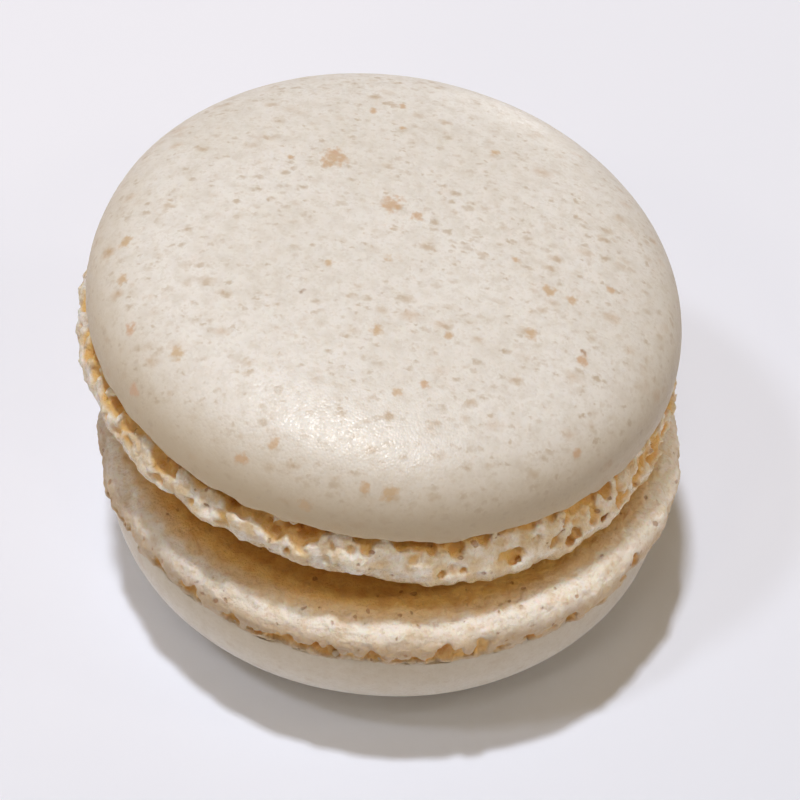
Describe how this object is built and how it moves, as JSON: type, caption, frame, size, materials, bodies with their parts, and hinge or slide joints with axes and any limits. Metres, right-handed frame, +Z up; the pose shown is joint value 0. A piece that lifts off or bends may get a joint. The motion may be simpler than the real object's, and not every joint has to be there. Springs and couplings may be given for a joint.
{
  "type": "french macaron",
  "caption": "Sandwich biscuit of domed almond meringue shells with craggy feet, the upper one tipped on a recessed disc of filling.",
  "frame": {"origin": "middle of the flat spot on the crown of the lower shell's dome, on which the macaron lies", "axes": "+Z up through the lower shell's dome and flat face; the upper shell is tipped down towards the front (-Y) and the right (+X)"},
  "size_m": [0.0464, 0.0477, 0.0311],
  "materials": {
    "shell": "satin",
    "filling": "satin"
  },
  "bodies": {
    "root": {"lower_shell": "shell", "filling": "filling", "upper_shell": "shell"}
  },
  "joints": []
}
